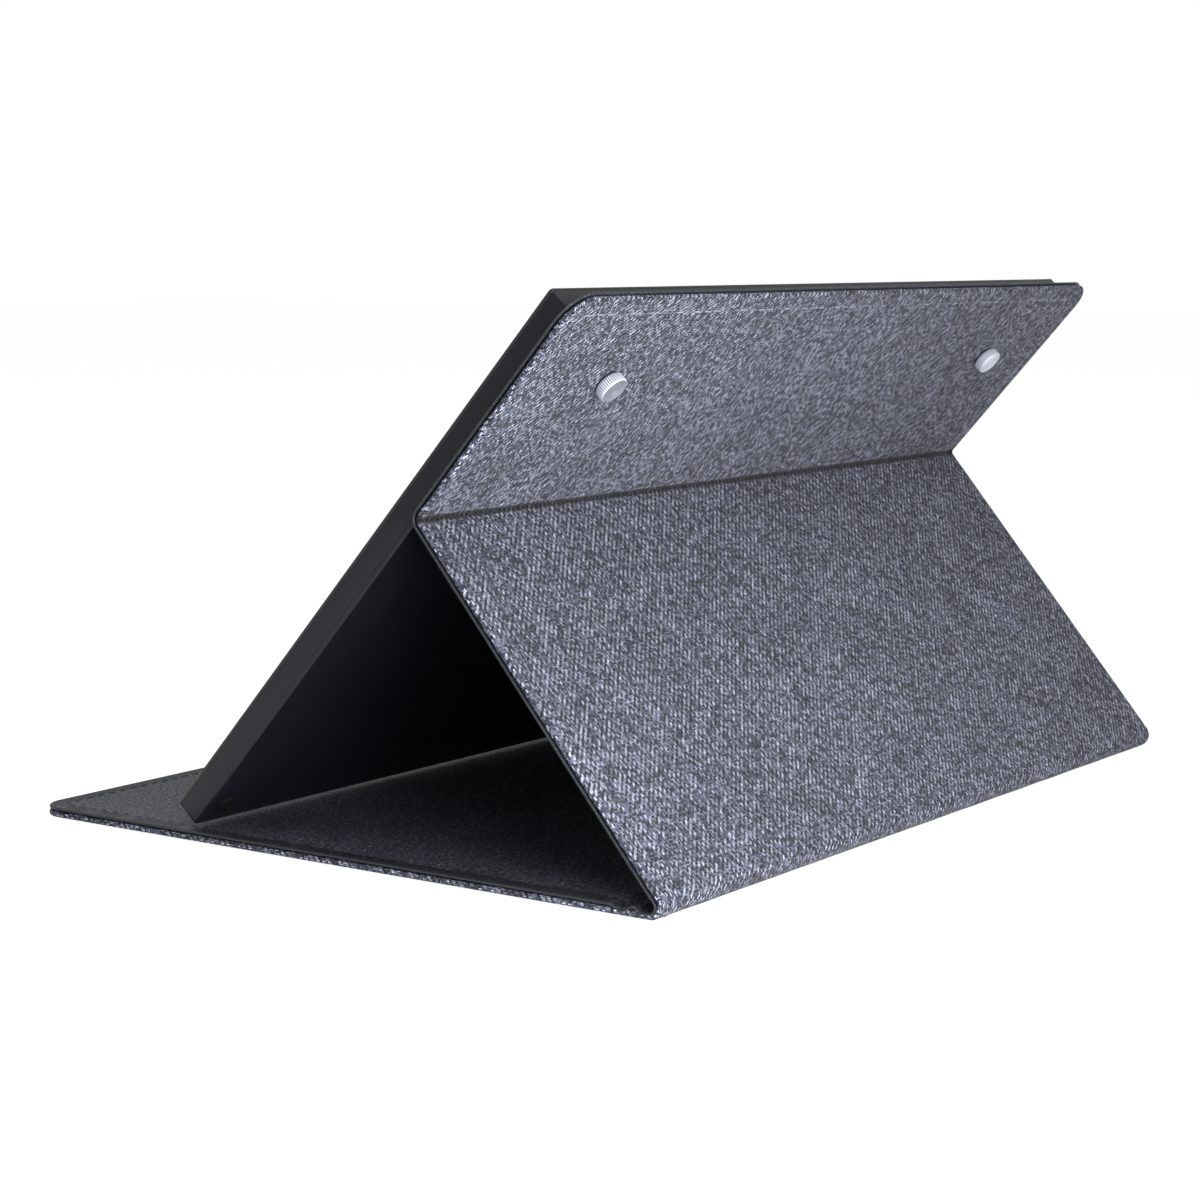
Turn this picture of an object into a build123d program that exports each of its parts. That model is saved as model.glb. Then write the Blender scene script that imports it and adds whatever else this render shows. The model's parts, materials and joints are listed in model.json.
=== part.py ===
from build123d import *

import os
from math import asin, cos, degrees, pi, radians, sin, sqrt, tan

# Folio case for a tablet, standing open as a tent on its own cover.
#
# A fabric-covered folio of three stiff panels (base, strut and flap) carries a hard tray
# for the tablet.  The flap is held on the tray's back by two knurled thumbscrews.  The
# strut props the tray up from behind, and the base runs back under the tray to the
# strut's foot.  Millimetres, +Z up, +Y to the rear.  The origin is the middle of the
# footprint.

# ---------------------------------------------------------------- driving dimensions
tray_width = 290.0
tray_height = 203.0
tray_depth = 8.6
tray_lean = 48.0               # tray's angle above the base, degrees
side_overhang = 5.0            # cover beyond each of the tray's sides
top_overhang = 5.5             # flap beyond the tray's top edge
base_front = 61.0              # base in front of the tray's bottom edge
fold_height = 130.5            # along the tray's back, bottom edge to the middle fold
strut_length = 128.5           # middle fold to the rear corner, on the outside
roll_radius = 4.0              # cloth's outside radius round the rear corner
corner_radius = 9.5            # flap's top corners and base's front corners

fabric_thickness = 0.9
board_thickness = 1.2
lining_thickness = 0.9
turned_edge = 3.5              # fabric turned up around each board
board_play = 0.15              # board to turned edge
rest_gap = 0.3                 # tray's bottom edge above the base's lining
fold_gap = 0.3                 # panel to panel across a fold

spine_width = 21.5             # soft strip in front of the rear corner, with no board in it
ripple_height = 1.8
ripple_count = 2
ripple_lead = 0.8              # flat lining before the first ripple and after the last
spine_lining_thickness = 0.8

tray_wall = 3.0
tray_back_thickness = 1.6
bezel_thickness = 1.1
bezel_lip = 2.0                # bezel overhang inside the wall, which keeps the tablet in
bezel_corner_radius = 4.75     # opening's corners
tray_edge_chamfer = 0.6
tray_corner_radius = 1.2
felt_thickness = 0.5
felt_play = 0.5                # felt to tray wall
pad_thickness = 1.0
pad_arm = 14.0
pad_play = 0.1                 # pad to the bezel's lip above it
port_length = 16.0
port_margin = 0.65             # wall left on either side of the port, through its depth
button_slot_length = 44.0
button_slot_height = 3.4
button_slot_below_top = 43.5   # tray's top edge to the slot's middle

screw_side_inset = 35.5        # tray's side to the screw's axis
screw_below_top = 24.0         # tray's top edge to the screw's axis
screw_radius = 1.5
screw_running_clearance = 0.05
screw_tip_short = 0.3          # tip stops this far inside the tray's back
head_radius = 4.4
head_height = 3.2
head_chamfer = 0.4
knurl_count = 44
knurl_depth = 0.28
washer_radius = 4.0
washer_thickness = 0.5
boss_radius = 4.0
boss_clearance = 0.3           # round the boss
boss_short = 0.2               # boss to the flap's outer cloth
insert_radius = 2.3
fabric_hole_radius = 1.8

foot_radius = 3.0
foot_height = 0.9
foot_edge_radius = 0.54
foot_inset = 8.0               # from the tray's side and bottom edges

magnet_length = 20.0
magnet_width = 5.0
magnet_play = 0.15
tray_magnet_width = 1.8
tray_magnet_height = 4.0
magnet_side_inset = 25.0       # tray's side to the middle of the outermost magnets
closure_inset = 14.0           # base's front edge to its closure magnets
seat_magnet_setback = 3.0      # in front of the tray's bottom edge

# ---------------------------------------------------------------- derived places
lean = radians(tray_lean)
cover_width = tray_width + 2 * side_overhang
panel_thickness = fabric_thickness + board_thickness + lining_thickness
seat_height = panel_thickness + rest_gap

# The middle fold lies on the flap's outer face; these are measured from the tray's
# bottom edge to the rear and from the floor up.
fold_rearward = fold_height * cos(lean) + panel_thickness * sin(lean)
fold_up = seat_height + fold_height * sin(lean) - panel_thickness * cos(lean)
strut_rearward = sqrt(strut_length ** 2 - fold_up ** 2)
foot_angle = asin(fold_up / strut_length)          # strut's angle above the floor

# The cloth rolls round the rear corner, which takes a little off the footprint.
roll_run = roll_radius / tan(foot_angle / 2)
corner_cut = roll_run - roll_radius
base_length = base_front + fold_rearward + strut_rearward - corner_cut
front_y = -base_length / 2
rear_y = base_length / 2
corner_y = rear_y + corner_cut
seat_y = front_y + base_front

# The rear fold turns about the line that keeps the roll's length of cloth as it flattens.
roll_length = roll_radius * (pi - foot_angle)
pivot_setback = roll_run - roll_length / 2
pivot_y = corner_y - pivot_setback
pivot_z = pivot_setback * tan(foot_angle / 2)

# Tray frame: X across, Y up the back of the tray, Z out of its screen side.
tray_plane = Plane(origin=(0, seat_y, seat_height), x_dir=(1, 0, 0),
                   z_dir=(0, -sin(lean), cos(lean)))
# Strut frame: X across, Y up the strut from the rear corner, Z into the tent.
strut_plane = Plane(origin=(0, corner_y, 0), x_dir=(1, 0, 0),
                    z_dir=(0, -sin(foot_angle), -cos(foot_angle)))

board_level = fabric_thickness
lining_level = fabric_thickness + board_thickness
spine_front = corner_y - spine_width
roll_front = corner_y - roll_run
strut_foot = roll_run + fold_gap
strut_top = strut_length - fold_gap
flap_low = fold_height + fold_gap
flap_high = tray_height + top_overhang

recess_width = tray_width - 2 * tray_wall
recess_height = tray_height - 2 * tray_wall
tray_middle = tray_height / 2
frame_top = tray_depth - bezel_thickness
felt_top = tray_back_thickness + felt_thickness

outer_magnet_x = tray_width / 2 - magnet_side_inset
seat_magnet_offsets = (-outer_magnet_x, -outer_magnet_x / 3, outer_magnet_x / 3,
                       outer_magnet_x)
closure_offsets = (-outer_magnet_x / 2, outer_magnet_x / 2)

screw_x = tray_width / 2 - screw_side_inset
screw_y = tray_height - screw_below_top
screw_points = [(-screw_x, screw_y), (screw_x, screw_y)]
boss_height = board_thickness + lining_thickness - boss_short
head_base = -panel_thickness - washer_thickness
screw_tip = tray_back_thickness - screw_tip_short


# ---------------------------------------------------------------- shared outlines
def panel_outline(width, low, high, low_radius=0.0, high_radius=0.0):
    """Flat panel between two heights, with rounded corners at either end."""
    with BuildSketch() as outline:
        with Locations((0, (low + high) / 2)):
            Rectangle(width, high - low)
        corners = outline.vertices().sort_by(Axis.Y)
        if low_radius > 0:
            fillet(corners[:2], radius=low_radius)
        if high_radius > 0:
            fillet(outline.vertices().sort_by(Axis.Y)[-2:], radius=high_radius)
    return outline.sketch


def board_outline(low, high, low_radius=0.0, high_radius=0.0):
    """Board inside the turned edge of a panel with the given outline."""
    inset = turned_edge + board_play
    return panel_outline(cover_width - 2 * inset, low + inset, high - inset,
                         max(low_radius - inset, 0.0), max(high_radius - inset, 0.0))


def turned_pocket(low, high, low_radius=0.0, high_radius=0.0):
    """Space inside the turned edge, which holds the board."""
    return panel_outline(cover_width - 2 * turned_edge, low + turned_edge, high - turned_edge,
                         max(low_radius - turned_edge, 0.0), max(high_radius - turned_edge, 0.0))


def magnet_points(offsets, y):
    return [(x, y) for x in offsets]


os.makedirs("parts", exist_ok=True)

# ---------------------------------------------------------------- base
seat_magnet_y = seat_y - seat_magnet_setback
closure_y = front_y + closure_inset
base_magnet_points = magnet_points(seat_magnet_offsets, seat_magnet_y)
closure_points = magnet_points(closure_offsets, closure_y)

with BuildPart() as base_fabric:
    with BuildSketch():
        add(panel_outline(cover_width, front_y, spine_front, corner_radius))
    extrude(amount=fabric_thickness)
    with BuildSketch(Plane.XY.offset(board_level)):
        add(panel_outline(cover_width, front_y, spine_front, corner_radius))
        add(turned_pocket(front_y, spine_front, corner_radius), mode=Mode.SUBTRACT)
    extrude(amount=board_thickness)
base_fabric.part.label = "base_fabric"
export_step(base_fabric.part, "parts/base_fabric.step")

with BuildPart() as base_board:
    with BuildSketch(Plane.XY.offset(board_level)):
        add(board_outline(front_y, spine_front, corner_radius))
        with Locations(*base_magnet_points, *closure_points):
            Rectangle(magnet_length + 2 * magnet_play, magnet_width + 2 * magnet_play,
                      mode=Mode.SUBTRACT)
    extrude(amount=board_thickness)
base_board.part.label = "base_board"
export_step(base_board.part, "parts/base_board.step")

with BuildPart() as base_lining:
    with BuildSketch(Plane.XY.offset(lining_level)):
        add(panel_outline(cover_width, front_y, spine_front, corner_radius))
    extrude(amount=lining_thickness)
base_lining.part.label = "base_lining"
export_step(base_lining.part, "parts/base_lining.step")

# The spine is cloth alone: flat on the floor, then rolled up round the rear corner until
# it lies in line with the strut's outer face.
roll_middle_angle = (pi - foot_angle) / 2
roll_centre = (roll_front, roll_radius)


def roll_point(radius, turn):
    """Point on the roll, turned round from its line on the floor."""
    return (roll_centre[0] + radius * sin(turn), roll_centre[1] - radius * cos(turn))


roll_inner_radius = roll_radius - fabric_thickness
with BuildPart() as spine_fabric:
    with BuildSketch(Plane.YZ.offset(-cover_width / 2)):
        with BuildLine():
            Polyline(roll_point(roll_inner_radius, 0), (spine_front, fabric_thickness),
                     (spine_front, 0), roll_point(roll_radius, 0))
            ThreePointArc(roll_point(roll_radius, 0),
                          roll_point(roll_radius, roll_middle_angle),
                          roll_point(roll_radius, 2 * roll_middle_angle))
            Line(roll_point(roll_radius, 2 * roll_middle_angle),
                 roll_point(roll_inner_radius, 2 * roll_middle_angle))
            ThreePointArc(roll_point(roll_inner_radius, 2 * roll_middle_angle),
                          roll_point(roll_inner_radius, roll_middle_angle),
                          roll_point(roll_inner_radius, 0))
        make_face()
    extrude(amount=cover_width)
spine_fabric.part.label = "spine_fabric"
export_step(spine_fabric.part, "parts/spine_fabric.step")

# The spine's lining is slack while the case stands, so it gathers into ripples that lie
# on the cloth between the base board and the roll.
ripple_pitch = (roll_front - spine_front - 2 * ripple_lead) / ripple_count
ripple_starts = [spine_front + ripple_lead + i * ripple_pitch for i in range(ripple_count)]


def ripple_line(height):
    """Flat lead, ripples and flat end, all at one height above the floor."""
    edge = Line((spine_front, height), (ripple_starts[0], height))
    for start in ripple_starts:
        edge = ThreePointArc((start, height), (start + ripple_pitch / 2, height + ripple_height),
                             (start + ripple_pitch, height))
    Line(edge @ 1, (roll_front, height))


with BuildPart() as spine_lining:
    with BuildSketch(Plane.YZ.offset(-cover_width / 2)):
        with BuildLine():
            lining_top = fabric_thickness + spine_lining_thickness
            ripple_line(fabric_thickness)
            ripple_line(lining_top)
            Line((spine_front, fabric_thickness), (spine_front, lining_top))
            Line((roll_front, fabric_thickness), (roll_front, lining_top))
        make_face()
    extrude(amount=cover_width)
spine_lining.part.label = "spine_lining"
export_step(spine_lining.part, "parts/spine_lining.step")

with BuildPart() as seat_magnets:
    with BuildSketch(Plane.XY.offset(board_level)):
        with Locations(*base_magnet_points):
            Rectangle(magnet_length, magnet_width)
    extrude(amount=board_thickness)
seat_magnets.part.label = "seat_magnets"
export_step(seat_magnets.part, "parts/seat_magnets.step")

with BuildPart() as closure_magnets:
    with BuildSketch(Plane.XY.offset(board_level)):
        with Locations(*closure_points):
            Rectangle(magnet_length, magnet_width)
    extrude(amount=board_thickness)
closure_magnets.part.label = "closure_magnets"
export_step(closure_magnets.part, "parts/closure_magnets.step")

# ---------------------------------------------------------------- strut
with BuildPart() as strut_fabric:
    with BuildSketch(strut_plane):
        add(panel_outline(cover_width, strut_foot, strut_top))
    extrude(amount=fabric_thickness)
    with BuildSketch(strut_plane.offset(board_level)):
        add(panel_outline(cover_width, strut_foot, strut_top))
        add(turned_pocket(strut_foot, strut_top), mode=Mode.SUBTRACT)
    extrude(amount=board_thickness)
strut_fabric.part.label = "strut_fabric"
export_step(strut_fabric.part, "parts/strut_fabric.step")

with BuildPart() as strut_board:
    with BuildSketch(strut_plane.offset(board_level)):
        add(board_outline(strut_foot, strut_top))
    extrude(amount=board_thickness)
strut_board.part.label = "strut_board"
export_step(strut_board.part, "parts/strut_board.step")

with BuildPart() as strut_lining:
    with BuildSketch(strut_plane.offset(lining_level)):
        add(panel_outline(cover_width, strut_foot, strut_top))
    extrude(amount=lining_thickness)
strut_lining.part.label = "strut_lining"
export_step(strut_lining.part, "parts/strut_lining.step")

# ---------------------------------------------------------------- flap, on the tray's back
flap_outside = tray_plane.offset(-panel_thickness)
flap_board_plane = flap_outside.offset(board_level)
flap_lining_plane = flap_outside.offset(lining_level)

with BuildPart() as flap_fabric:
    with BuildSketch(flap_outside):
        add(panel_outline(cover_width, flap_low, flap_high, high_radius=corner_radius))
        with Locations(*screw_points):
            Circle(fabric_hole_radius, mode=Mode.SUBTRACT)
    extrude(amount=fabric_thickness)
    with BuildSketch(flap_board_plane):
        add(panel_outline(cover_width, flap_low, flap_high, high_radius=corner_radius))
        add(turned_pocket(flap_low, flap_high, high_radius=corner_radius),
            mode=Mode.SUBTRACT)
    extrude(amount=board_thickness)
flap_fabric.part.label = "flap_fabric"
export_step(flap_fabric.part, "parts/flap_fabric.step")

with BuildPart() as flap_board:
    with BuildSketch(flap_board_plane):
        add(board_outline(flap_low, flap_high, high_radius=corner_radius))
        with Locations(*screw_points):
            Circle(boss_radius + boss_clearance, mode=Mode.SUBTRACT)
    extrude(amount=board_thickness)
flap_board.part.label = "flap_board"
export_step(flap_board.part, "parts/flap_board.step")

with BuildPart() as flap_lining:
    with BuildSketch(flap_lining_plane):
        add(panel_outline(cover_width, flap_low, flap_high, high_radius=corner_radius))
        with Locations(*screw_points):
            Circle(boss_radius + boss_clearance, mode=Mode.SUBTRACT)
    extrude(amount=lining_thickness)
flap_lining.part.label = "flap_lining"
export_step(flap_lining.part, "parts/flap_lining.step")

# ---------------------------------------------------------------- tray
with BuildPart() as tray_back:
    with BuildSketch(tray_plane):
        add(panel_outline(tray_width, 0, tray_height, tray_corner_radius,
                          tray_corner_radius))
    extrude(amount=tray_back_thickness)
    out_of_screen = Axis(tray_plane.origin, tray_plane.z_dir)
    chamfer(tray_back.faces().sort_by(out_of_screen)[0].edges(), length=tray_edge_chamfer)
    with BuildSketch(tray_plane):
        with Locations(*screw_points):
            Circle(boss_radius)
    extrude(amount=-boss_height)
    with BuildSketch(tray_plane.offset(-boss_height)):
        with Locations(*screw_points):
            Circle(insert_radius)
    extrude(amount=boss_height + tray_back_thickness, mode=Mode.SUBTRACT)
tray_back.part.label = "tray_back"
export_step(tray_back.part, "parts/tray_back.step")

bottom_wall_y = tray_wall / 2
top_wall_y = tray_height - tray_wall / 2
tray_magnet_points = magnet_points(seat_magnet_offsets, bottom_wall_y)
keeper_points = magnet_points(closure_offsets, top_wall_y)
side_wall_x = -(tray_width - tray_wall) / 2
slot_level = (tray_back_thickness + frame_top) / 2
port_height = frame_top - tray_back_thickness - 2 * port_margin

with BuildPart() as tray_frame:
    with BuildSketch(tray_plane.offset(tray_back_thickness)):
        add(panel_outline(tray_width, 0, tray_height, tray_corner_radius,
                          tray_corner_radius))
        add(panel_outline(recess_width, tray_wall, tray_height - tray_wall),
            mode=Mode.SUBTRACT)
    extrude(amount=frame_top - tray_back_thickness)
    with BuildSketch(tray_plane.offset(tray_back_thickness)):
        with Locations(*tray_magnet_points, *keeper_points):
            Rectangle(magnet_length + 2 * magnet_play, tray_magnet_width + 2 * magnet_play)
    extrude(amount=tray_magnet_height + magnet_play, mode=Mode.SUBTRACT)
    with BuildSketch(tray_plane.offset(slot_level - port_height / 2)):
        with Locations((side_wall_x, tray_middle)):
            Rectangle(2 * tray_wall, port_length)
    extrude(amount=port_height, mode=Mode.SUBTRACT)
    with BuildSketch(tray_plane.offset(slot_level - button_slot_height / 2)):
        with Locations((side_wall_x, tray_height - button_slot_below_top)):
            Rectangle(2 * tray_wall, button_slot_length)
    extrude(amount=button_slot_height, mode=Mode.SUBTRACT)
tray_frame.part.label = "tray_frame"
export_step(tray_frame.part, "parts/tray_frame.step")

lip_edge = tray_wall + bezel_lip
with BuildPart() as front_bezel:
    with BuildSketch(tray_plane.offset(frame_top)):
        add(panel_outline(tray_width, 0, tray_height, tray_corner_radius,
                          tray_corner_radius))
        add(panel_outline(tray_width - 2 * lip_edge, lip_edge, tray_height - lip_edge,
                          bezel_corner_radius, bezel_corner_radius), mode=Mode.SUBTRACT)
    extrude(amount=bezel_thickness)
front_bezel.part.label = "front_bezel"
export_step(front_bezel.part, "parts/front_bezel.step")

with BuildPart() as felt_liner:
    with BuildSketch(tray_plane.offset(tray_back_thickness)):
        add(panel_outline(recess_width - 2 * felt_play, tray_wall + felt_play,
                          tray_height - tray_wall - felt_play))
    extrude(amount=felt_thickness)
felt_liner.part.label = "felt_liner"
export_step(felt_liner.part, "parts/felt_liner.step")

with BuildPart() as corner_pads:
    with BuildSketch(tray_plane.offset(felt_top)):
        for side in (-1, 1):
            for end in (-1, 1):
                recess_x = side * recess_width / 2
                recess_y = tray_middle + end * recess_height / 2
                with Locations((recess_x - side * pad_arm / 2,
                                recess_y - end * pad_thickness / 2)):
                    Rectangle(pad_arm, pad_thickness)
                with Locations((recess_x - side * pad_thickness / 2,
                                recess_y - end * pad_arm / 2)):
                    Rectangle(pad_thickness, pad_arm)
    extrude(amount=frame_top - felt_top - pad_play)
corner_pads.part.label = "corner_pads"
export_step(corner_pads.part, "parts/corner_pads.step")

with BuildPart() as tray_magnets:
    with BuildSketch(tray_plane.offset(tray_back_thickness)):
        with Locations(*tray_magnet_points):
            Rectangle(magnet_length, tray_magnet_width)
    extrude(amount=tray_magnet_height)
tray_magnets.part.label = "tray_magnets"
export_step(tray_magnets.part, "parts/tray_magnets.step")

with BuildPart() as closure_keepers:
    with BuildSketch(tray_plane.offset(tray_back_thickness)):
        with Locations(*keeper_points):
            Rectangle(magnet_length, tray_magnet_width)
    extrude(amount=tray_magnet_height)
closure_keepers.part.label = "closure_keepers"
export_step(closure_keepers.part, "parts/closure_keepers.step")

foot_x = tray_width / 2 - foot_inset
foot_points = [(-foot_x, foot_inset), (foot_x, foot_inset)]
with BuildPart() as rubber_feet:
    with BuildSketch(tray_plane):
        with Locations(*foot_points):
            Circle(foot_radius)
    extrude(amount=-foot_height)
    outward = Axis(tray_plane.origin, -tray_plane.z_dir)
    fillet(rubber_feet.faces().sort_by(outward)[-2:].edges(), radius=foot_edge_radius)
rubber_feet.part.label = "rubber_feet"
export_step(rubber_feet.part, "parts/rubber_feet.step")

with BuildPart() as threaded_inserts:
    with BuildSketch(tray_plane.offset(-boss_height)):
        with Locations(*screw_points):
            Circle(insert_radius)
            Circle(screw_radius + screw_running_clearance, mode=Mode.SUBTRACT)
    extrude(amount=boss_height + tray_back_thickness)
threaded_inserts.part.label = "threaded_inserts"
export_step(threaded_inserts.part, "parts/threaded_inserts.step")


# ---------------------------------------------------------------- thumbscrews and washers
def make_thumbscrew(label, point):
    """Knurled head and plain shank, which runs in the threaded insert."""
    head_plane = tray_plane.offset(head_base)
    with BuildPart() as thumbscrew:
        with BuildSketch(head_plane):
            with Locations(point):
                Circle(head_radius)
        extrude(amount=-head_height)
        outward_axis = Axis(tray_plane.origin, -tray_plane.z_dir)
        outer_face = thumbscrew.faces().sort_by(outward_axis)[-1]
        inner_face = thumbscrew.faces().sort_by(outward_axis)[0]
        chamfer(outer_face.edges() + inner_face.edges(), length=head_chamfer)
        with BuildSketch(head_plane):
            with Locations(point):
                with PolarLocations(head_radius, knurl_count):
                    RegularPolygon(knurl_depth, 3, rotation=180)
        extrude(amount=-head_height, mode=Mode.SUBTRACT)
        with BuildSketch(head_plane):
            with Locations(point):
                Circle(screw_radius)
        extrude(amount=screw_tip - head_base)
    thumbscrew.part.label = label
    export_step(thumbscrew.part, f"parts/{label}.step")


def make_washer(label, point):
    """Plain nylon washer, which the screw carries between its head and the fabric."""
    with BuildPart() as washer:
        with BuildSketch(tray_plane.offset(head_base)):
            with Locations(point):
                Circle(washer_radius)
                Circle(screw_radius + screw_running_clearance, mode=Mode.SUBTRACT)
        extrude(amount=washer_thickness)
    washer.part.label = label
    export_step(washer.part, f"parts/{label}.step")


for side_name, screw_point in zip(("left", "right"), screw_points):
    make_thumbscrew(f"thumbscrew_{side_name}", screw_point)
    make_washer(f"washer_{side_name}", screw_point)

print("middle fold: y", round(seat_y + fold_rearward, 4), "z", round(fold_up, 4))
print("rear fold: y", round(pivot_y, 4), "z", round(pivot_z, 4),
      "foot angle", round(degrees(foot_angle), 4))
print("seat: y", round(seat_y, 4), "z", round(seat_height, 4), "front y", round(front_y, 4))
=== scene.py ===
"""Looks of the tablet folio stand case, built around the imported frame.

The cover is one strip of cloth over boards, lined with leatherette.  Both skins are made
flat, as (across, along, depth), and then laid along the path that the cover's outer face
follows: base, roll round the rear corner, strut, valley at the middle fold, flap.
"""
import json
import math
import random
import bmesh
import bpy
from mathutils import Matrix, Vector


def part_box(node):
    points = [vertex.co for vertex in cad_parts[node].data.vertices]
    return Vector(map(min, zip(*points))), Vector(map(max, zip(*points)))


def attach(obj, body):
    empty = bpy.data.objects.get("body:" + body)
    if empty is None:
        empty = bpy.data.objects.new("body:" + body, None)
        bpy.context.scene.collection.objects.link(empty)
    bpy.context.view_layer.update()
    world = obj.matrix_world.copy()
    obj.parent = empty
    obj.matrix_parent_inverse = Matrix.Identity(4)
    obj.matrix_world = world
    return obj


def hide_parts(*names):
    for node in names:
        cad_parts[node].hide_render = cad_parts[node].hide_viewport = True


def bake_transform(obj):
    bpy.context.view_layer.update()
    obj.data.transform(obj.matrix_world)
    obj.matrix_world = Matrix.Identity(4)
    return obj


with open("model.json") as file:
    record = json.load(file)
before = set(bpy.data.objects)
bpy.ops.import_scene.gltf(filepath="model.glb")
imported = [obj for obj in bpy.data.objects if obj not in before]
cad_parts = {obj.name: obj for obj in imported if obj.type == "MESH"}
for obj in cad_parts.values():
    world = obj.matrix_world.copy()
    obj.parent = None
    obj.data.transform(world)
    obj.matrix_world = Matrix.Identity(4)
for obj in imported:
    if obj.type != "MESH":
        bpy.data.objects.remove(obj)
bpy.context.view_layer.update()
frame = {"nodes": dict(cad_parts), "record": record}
MM = 0.001
random.seed(7)

# ---------------------------------------------------------------- places, from the frame
joints = {joint["name"]: joint for joint in frame["record"]["behaviour"]["joints"]}
base_low, base_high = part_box("base_fabric")
lining_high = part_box("base_lining")[1]
spine_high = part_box("spine_fabric")[1]
flap_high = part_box("flap_fabric")[1]
middle_fold = Vector(joints["middle_fold"]["pos_m"])
screw_axis = Vector(joints["left_screw_turn"]["axis"]).normalized()
half_width = base_high.x
front_y = base_low.y
panel_depth = lining_high.z
lean = math.atan2(screw_axis.y, -screw_axis.z)
up_tray = Vector((0, math.cos(lean), math.sin(lean)))
into_tray = Vector((0, -math.sin(lean), math.cos(lean)))

# ---------------------------------------------------------------- sizes of the cover
corner_radius = 9.5 * MM
roll_radius = 4.0 * MM
valley_radius = 1.0 * MM
stitch_inset = 5.6 * MM
slack_run = 22 * MM          # base lining in front of the roll that lies loose
valley_reach = 4 * MM        # either side of the valley, where close rows are needed
fine_row, plain_row, column_step = 0.45 * MM, 4 * MM, 5 * MM
corner_steps, corner_turn = 10, 9    # facets round a quarter corner, and degrees of each
weld_distance, sliver_length = 0.004 * MM, 0.002 * MM


# ---------------------------------------------------------------- the cover's path
class CoverPath:
    """Outer face of the cover in the YZ plane, by distance from the base's front edge."""

    def __init__(self):
        self.centre = Vector((0, spine_high.y - roll_radius, roll_radius))
        to_fold = middle_fold - self.centre
        rise = math.atan2(to_fold.z, to_fold.y)
        swing = math.acos(roll_radius / to_fold.length)
        self.normal_angle = rise - swing                 # roll's end, outward normal
        self.strut_up = Vector((0, -math.sin(self.normal_angle), math.cos(self.normal_angle)))
        self.roll_turn = self.normal_angle + math.pi / 2
        self.base_run = self.centre.y - front_y
        self.roll_run = roll_radius * self.roll_turn
        strut_start = self.centre + roll_radius * self.out(self.normal_angle)
        fold_turn = self.strut_up.angle(up_tray)
        setback = valley_radius * math.tan(fold_turn / 2)
        self.strut_start = strut_start
        self.strut_run = (middle_fold - strut_start).length - setback
        self.valley_run = valley_radius * fold_turn
        self.valley_start = strut_start + self.strut_up * self.strut_run
        self.valley_centre = self.valley_start + valley_radius * self.out(self.normal_angle)
        self.flap_start = middle_fold + up_tray * setback
        top = Vector((0, flap_high.y, flap_high.z))
        self.flap_run = (top - self.flap_start).dot(up_tray)
        self.roll_at = self.base_run
        self.strut_at = self.roll_at + self.roll_run
        self.valley_at = self.strut_at + self.strut_run
        self.flap_at = self.valley_at + self.valley_run
        self.end = self.flap_at + self.flap_run
        self.split = self.strut_at + 0.5 * self.strut_run

    @staticmethod
    def out(angle):
        return Vector((0, math.cos(angle), math.sin(angle)))

    def place(self, across, along, depth):
        """Point in the row frame at a depth inside the outer face."""
        if along <= self.roll_at:
            point = Vector((0, front_y + along, depth))
        elif along <= self.strut_at:
            turned = self.out(-math.pi / 2 + (along - self.roll_at) / roll_radius)
            point = self.centre + (roll_radius - depth) * turned
        elif along <= self.valley_at:
            point = (self.strut_start + self.strut_up * (along - self.strut_at)
                     - depth * self.out(self.normal_angle))
        elif along <= self.flap_at:
            turn = (along - self.valley_at) / valley_radius
            turned = self.out(self.normal_angle + math.pi - turn)
            point = self.valley_centre + (valley_radius + depth) * turned
        else:
            point = self.flap_start + up_tray * (along - self.flap_at) + into_tray * depth
        return Vector((across, point.y, point.z))


path = CoverPath()


def steps(start, end, longest):
    """Evenly spaced values from start to end, no further apart than longest."""
    count = max(1, math.ceil(abs(end - start) / longest - 1e-6))
    return [start + (end - start) * i / count for i in range(count + 1)]


def rows_between(start, end):
    """Distances along the path with close rows round each bend."""
    spine = (path.roll_at - slack_run, path.strut_at)
    valley = (path.valley_at - valley_reach, path.flap_at + valley_reach)
    marks = [spine[0], path.roll_at, spine[1], valley[0], path.valley_at, path.flap_at,
             valley[1]]
    edges = [start] + [m for m in marks if start < m < end] + [end]
    rows = []
    for low, high in zip(edges, edges[1:]):
        middle = (low + high) / 2
        fine = any(a <= middle <= b for a, b in (spine, valley))
        rows += steps(low, high, fine_row if fine else plain_row)[:-1]
    return rows + [end]


# ---------------------------------------------------------------- flat pads, laid on the path
def wobble(x, y, scale, seed):
    """Smooth, repeatable unevenness between -1 and 1."""
    a = math.sin(x * scale + seed) * math.cos(y * scale * 0.83 - 1.7 * seed)
    b = math.sin(x * scale * 2.3 - y * scale * 1.9 + 0.6 * seed)
    return 0.65 * a + 0.35 * b


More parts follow.
